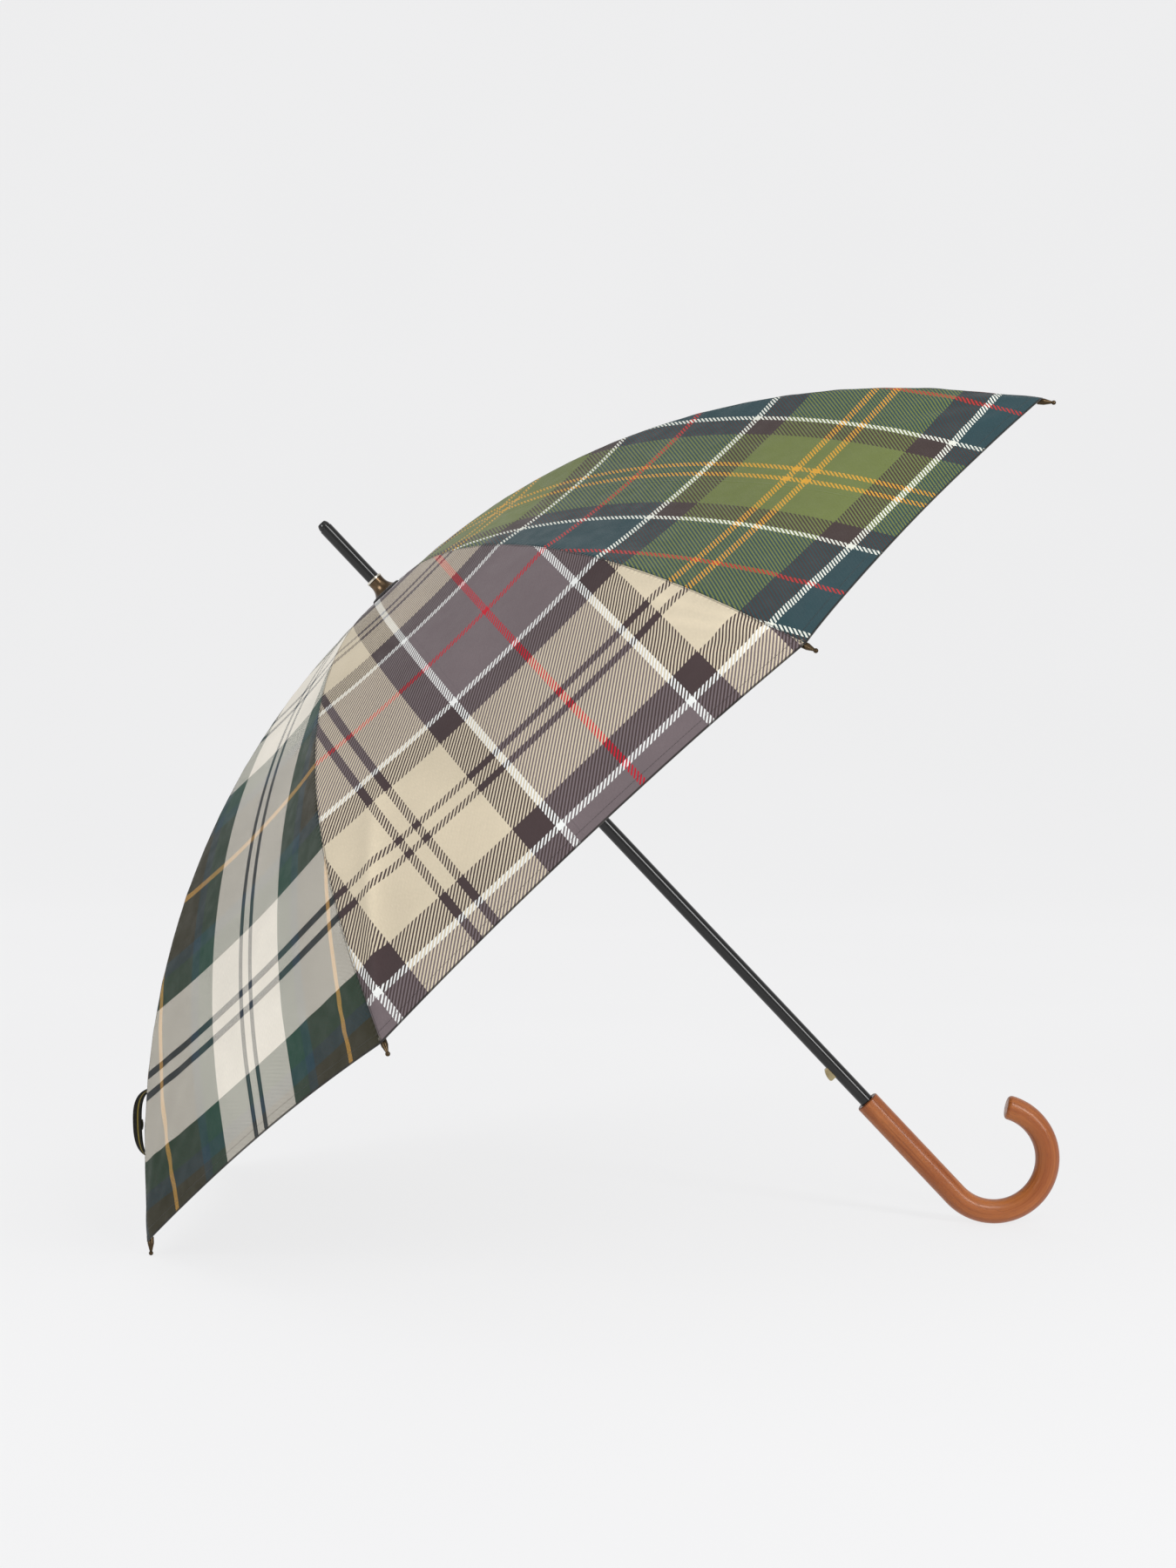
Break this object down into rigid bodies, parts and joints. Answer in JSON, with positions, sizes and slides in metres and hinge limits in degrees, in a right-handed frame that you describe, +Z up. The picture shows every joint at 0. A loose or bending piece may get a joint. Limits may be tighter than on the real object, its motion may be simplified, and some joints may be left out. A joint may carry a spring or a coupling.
{
  "type": "stick umbrella",
  "caption": "Open stick umbrella with a wooden crook handle, a tartan canopy on folding ribs, a sliding runner and a press button.",
  "frame": {"origin": "middle of the base of the bounding box, on the floor that two rib tips and the crook stand on", "axes": "+Z up; +X from the canopy towards the handle along the floor; +Y across the canopy"},
  "size_m": [0.7864, 0.9918, 0.7062],
  "materials": {
    "black_gloss": "gloss black enamel",
    "black_plastic": "satin",
    "steel": "plain",
    "black_steel": "black",
    "dark_braid": "braided",
    "bronze": "dark bronze plate",
    "bright_metal": "polished",
    "wood": "satin varnish",
    "champagne": "champagne",
    "strap_tape": "woven tape",
    "tartan_1": "woven tartan, olive and yellow",
    "tartan_2": "woven tartan, olive beside beige",
    "tartan_3": "woven tartan, beige beside cream and green",
    "tartan_4": "woven tartan, dark green"
  },
  "bodies": {
    "shaft": {"shaft_tube": "black_gloss", "top_notch": "black_plastic", "notch_wire": "steel", "notch_pin": "steel", "stop_pin": "steel", "rosette": "dark_braid", "ferrule_cup": "bronze", "cup_ring": "bright_metal", "ferrule": "black_gloss", "ferrule_tip": "black_gloss", "handle_crook": "wood", "button_spring": "steel"},
    "runner": {"runner": "black_plastic"},
    "button": {"release_button": "champagne"},
    "rib_1": {"rib_1": "black_steel", "rib_tip_1": "bronze", "rib_joint_1": "steel", "canopy_gore_1": "tartan_1"},
    "stretcher_1": {"stretcher_1": "black_steel"},
    "rib_2": {"rib_2": "black_steel", "rib_tip_2": "bronze", "rib_joint_2": "steel", "canopy_gore_2": "tartan_2"},
    "stretcher_2": {"stretcher_2": "black_steel"},
    "rib_3": {"rib_3": "black_steel", "rib_tip_3": "bronze", "rib_joint_3": "steel", "canopy_gore_3": "tartan_3"},
    "stretcher_3": {"stretcher_3": "black_steel"},
    "rib_4": {"rib_4": "black_steel", "rib_tip_4": "bronze", "rib_joint_4": "steel", "canopy_gore_4": "tartan_4", "strap": "strap_tape", "strap_popper": "bronze"},
    "stretcher_4": {"stretcher_4": "black_steel"},
    "rib_5": {"rib_5": "black_steel", "rib_tip_5": "bronze", "rib_joint_5": "steel", "canopy_gore_5": "tartan_1"},
    "stretcher_5": {"stretcher_5": "black_steel"},
    "rib_6": {"rib_6": "black_steel", "rib_tip_6": "bronze", "rib_joint_6": "steel", "canopy_gore_6": "tartan_2"},
    "stretcher_6": {"stretcher_6": "black_steel"},
    "rib_7": {"rib_7": "black_steel", "rib_tip_7": "bronze", "rib_joint_7": "steel", "canopy_gore_7": "tartan_3"},
    "stretcher_7": {"stretcher_7": "black_steel"},
    "rib_8": {"rib_8": "black_steel", "rib_tip_8": "bronze", "rib_joint_8": "steel", "canopy_gore_8": "tartan_4"},
    "stretcher_8": {"stretcher_8": "black_steel"}
  },
  "joints": [
    {"name": "rib_1_fold", "type": "hinge", "parent": "shaft", "child": "rib_1", "pos_m": [-0.19175, -0.00364, 0.54187], "axis": [0.2733, 0.9239, 0.2679], "range_deg": [0, 62.7], "deforming": ["canopy_gore_1"]},
    {"name": "stretcher_1_turn", "type": "hinge", "parent": "rib_1", "child": "stretcher_1", "pos_m": [0.02329, -0.1041, 0.66897], "axis": [0.2733, 0.9239, 0.2679], "range_deg": [-125.42, 0]},
    {"name": "rib_2_fold", "type": "hinge", "parent": "shaft", "child": "rib_2", "pos_m": [-0.19542, -0.00878, 0.53827], "axis": [0.6598, 0.3827, 0.6467], "range_deg": [0, 62.7], "deforming": ["canopy_gore_2"]},
    {"name": "stretcher_2_turn", "type": "hinge", "parent": "rib_2", "child": "stretcher_2", "pos_m": [-0.08184, -0.25131, 0.56592], "axis": [0.6598, 0.3827, 0.6467], "range_deg": [-125.42, 0]},
    {"name": "rib_3_fold", "type": "hinge", "parent": "shaft", "child": "rib_3", "pos_m": [-0.20061, -0.00878, 0.53318], "axis": [0.6598, -0.3827, 0.6467], "range_deg": [0, 62.7], "deforming": ["canopy_gore_3"]},
    {"name": "stretcher_3_turn", "type": "hinge", "parent": "rib_3", "child": "stretcher_3", "pos_m": [-0.23051, -0.25131, 0.42017], "axis": [0.6598, -0.3827, 0.6467], "range_deg": [-125.42, 0]},
    {"name": "rib_4_fold", "type": "hinge", "parent": "shaft", "child": "rib_4", "pos_m": [-0.20428, -0.00364, 0.52958], "axis": [0.2733, -0.9239, 0.2679], "range_deg": [0, 62.7], "deforming": ["canopy_gore_4", "strap", "strap_popper"]},
    {"name": "stretcher_4_turn", "type": "hinge", "parent": "rib_4", "child": "stretcher_4", "pos_m": [-0.33564, -0.1041, 0.31712], "axis": [0.2733, -0.9239, 0.2679], "range_deg": [-125.42, 0]},
    {"name": "rib_5_fold", "type": "hinge", "parent": "shaft", "child": "rib_5", "pos_m": [-0.20428, 0.00364, 0.52958], "axis": [-0.2733, -0.9239, -0.2679], "range_deg": [0, 62.7], "deforming": ["canopy_gore_5"]},
    {"name": "stretcher_5_turn", "type": "hinge", "parent": "rib_5", "child": "stretcher_5", "pos_m": [-0.33564, 0.1041, 0.31712], "axis": [-0.2733, -0.9239, -0.2679], "range_deg": [-125.42, 0]},
    {"name": "rib_6_fold", "type": "hinge", "parent": "shaft", "child": "rib_6", "pos_m": [-0.20061, 0.00878, 0.53318], "axis": [-0.6598, -0.3827, -0.6467], "range_deg": [0, 62.7], "deforming": ["canopy_gore_6"]},
    {"name": "stretcher_6_turn", "type": "hinge", "parent": "rib_6", "child": "stretcher_6", "pos_m": [-0.23051, 0.25131, 0.42017], "axis": [-0.6598, -0.3827, -0.6467], "range_deg": [-125.42, 0]},
    {"name": "rib_7_fold", "type": "hinge", "parent": "shaft", "child": "rib_7", "pos_m": [-0.19542, 0.00878, 0.53827], "axis": [-0.6598, 0.3827, -0.6467], "range_deg": [0, 62.7], "deforming": ["canopy_gore_7"]},
    {"name": "stretcher_7_turn", "type": "hinge", "parent": "rib_7", "child": "stretcher_7", "pos_m": [-0.08184, 0.25131, 0.56592], "axis": [-0.6598, 0.3827, -0.6467], "range_deg": [-125.42, 0]},
    {"name": "rib_8_fold", "type": "hinge", "parent": "shaft", "child": "rib_8", "pos_m": [-0.19175, 0.00364, 0.54187], "axis": [-0.2733, 0.9239, -0.2679], "range_deg": [0, 62.7], "deforming": ["canopy_gore_8"]},
    {"name": "stretcher_8_turn", "type": "hinge", "parent": "rib_8", "child": "stretcher_8", "pos_m": [0.02329, 0.1041, 0.66897], "axis": [-0.2733, 0.9239, -0.2679], "range_deg": [-125.42, 0]},
    {"name": "runner_slide", "type": "slide", "parent": "shaft", "child": "runner", "axis": [0.7, 0, -0.7141], "range_m": [0, 0.40171], "stiffness_N_per_m": 120, "springref_m": -0.33},
    {"name": "button_press", "type": "slide", "parent": "shaft", "child": "button", "axis": [0.7141, 0, 0.7], "range_m": [0, 0.003], "stiffness_N_per_m": 500, "springref_m": -0.002, "deforming": ["button_spring"]}
  ],
  "couplings": [
    {"joint": "stretcher_1_turn", "follows": "rib_1_fold", "ratio": -2},
    {"joint": "rib_2_fold", "follows": "rib_1_fold", "ratio": 1},
    {"joint": "stretcher_2_turn", "follows": "rib_1_fold", "ratio": -2},
    {"joint": "rib_3_fold", "follows": "rib_1_fold", "ratio": 1},
    {"joint": "stretcher_3_turn", "follows": "rib_1_fold", "ratio": -2},
    {"joint": "rib_4_fold", "follows": "rib_1_fold", "ratio": 1},
    {"joint": "stretcher_4_turn", "follows": "rib_1_fold", "ratio": -2},
    {"joint": "rib_5_fold", "follows": "rib_1_fold", "ratio": 1},
    {"joint": "stretcher_5_turn", "follows": "rib_1_fold", "ratio": -2},
    {"joint": "rib_6_fold", "follows": "rib_1_fold", "ratio": 1},
    {"joint": "stretcher_6_turn", "follows": "rib_1_fold", "ratio": -2},
    {"joint": "rib_7_fold", "follows": "rib_1_fold", "ratio": 1},
    {"joint": "stretcher_7_turn", "follows": "rib_1_fold", "ratio": -2},
    {"joint": "rib_8_fold", "follows": "rib_1_fold", "ratio": 1},
    {"joint": "stretcher_8_turn", "follows": "rib_1_fold", "ratio": -2},
    {"joint": "runner_slide", "follows": "rib_1_fold", "m_per_rad": 0.36704}
  ]
}
